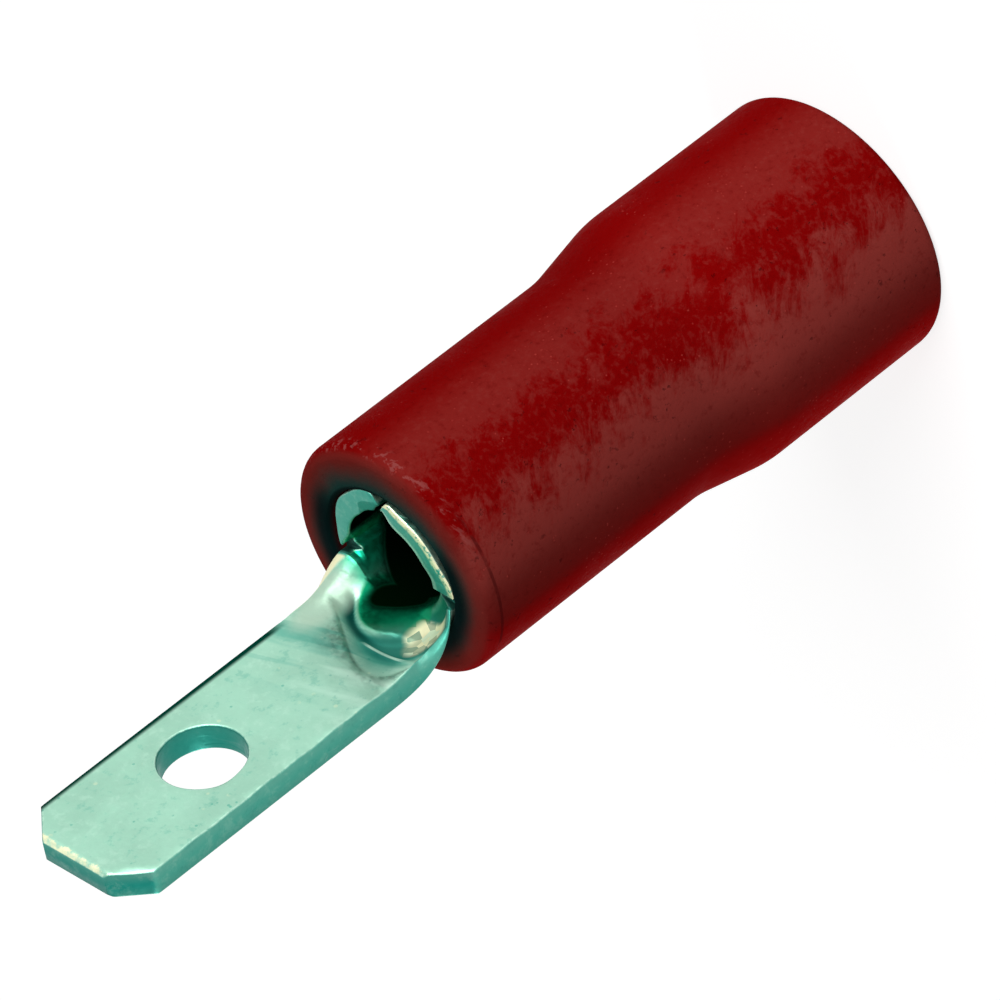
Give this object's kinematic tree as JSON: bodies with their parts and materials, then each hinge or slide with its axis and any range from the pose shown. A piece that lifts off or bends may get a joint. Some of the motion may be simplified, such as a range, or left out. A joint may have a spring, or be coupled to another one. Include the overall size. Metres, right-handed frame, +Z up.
{
  "type": "male spade terminal",
  "caption": "Insulated male spade terminal with a flat holed tab, a rolled wire barrel and a red stepped sleeve.",
  "frame": {"origin": "on the barrel's axis, in the middle of the sleeve's flat rear end, on which the part stands", "axes": "+Z up the barrel's axis towards the tab's tip, +Y from the tab's scooped face through to its back, +X to the right when that face is looked at"},
  "size_m": [0.0052, 0.0052, 0.0191],
  "materials": {
    "tinned_brass": "satin tin plate over brass, lightly scratched",
    "red_plastic": "dark red soft plastic, satin"
  },
  "bodies": {
    "root": {"terminal": "tinned_brass", "insulation_sleeve": "red_plastic"}
  },
  "joints": []
}
